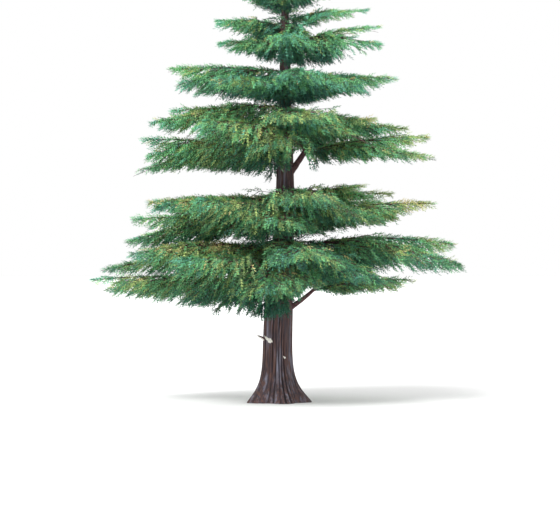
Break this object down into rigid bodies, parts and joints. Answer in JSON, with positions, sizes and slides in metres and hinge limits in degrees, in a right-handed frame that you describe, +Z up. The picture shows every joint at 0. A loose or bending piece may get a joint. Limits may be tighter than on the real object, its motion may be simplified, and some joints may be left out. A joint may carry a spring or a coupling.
{
  "type": "deodar cedar tree",
  "caption": "Rooted young deodar cedar: flared tapering trunk, tiers of level boughs with drooping needle sprays and a nodding leader.",
  "frame": {"origin": "middle of the trunk's flat foot, at ground level", "axes": "+Z up the trunk, -Y towards the front that the picture shows, +X to the right of it"},
  "size_m": [9.2442, 8.2235, 13.02],
  "materials": {
    "furrowed_bark": "rough furrowed bark",
    "limb_bark": "fine scaly bark",
    "torn_wood": "torn dry wood",
    "needles": "matt waxy needles"
  },
  "bodies": {
    "root": {"bough_lower_right": "limb_bark", "bough_upper_right": "limb_bark", "dead_stub": "torn_wood", "foliage_1_back_left": "needles", "foliage_1_back_right": "needles", "foliage_1_front_left": "needles", "foliage_1_front_right": "needles", "foliage_1_left_high": "needles", "foliage_1_left_low": "needles", "foliage_1_right_high": "needles", "foliage_1_right_low": "needles", "foliage_2_back_left": "needles", "foliage_2_back_right": "needles", "foliage_2_front_left": "needles", "foliage_2_front_right": "needles", "foliage_2_left_high": "needles", "foliage_2_left_low": "needles", "foliage_2_right_high": "needles", "foliage_2_right_low": "needles", "foliage_3_back_left": "needles", "foliage_3_back_right": "needles", "foliage_3_front_left": "needles", "foliage_3_front_right": "needles", "foliage_3_left_high": "needles", "foliage_3_left_low": "needles", "foliage_3_right_high": "needles", "foliage_3_right_low": "needles", "foliage_4_back_left": "needles", "foliage_4_back_right": "needles", "foliage_4_front_left": "needles", "foliage_4_front_right": "needles", "foliage_4_left": "needles", "foliage_4_right": "needles", "foliage_5_back": "needles", "foliage_5_front": "needles", "foliage_5_left_high": "needles", "foliage_5_left_low": "needles", "foliage_5_right_high": "needles", "foliage_5_right_low": "needles", "foliage_6_back": "needles", "foliage_6_front": "needles", "foliage_6_left": "needles", "foliage_6_right": "needles", "foliage_7_back": "needles", "foliage_7_front": "needles", "foliage_7_right": "needles", "foliage_8_back": "needles", "foliage_8_front": "needles", "foliage_8_right": "needles", "leader": "needles", "trunk": "furrowed_bark"}
  },
  "joints": []
}
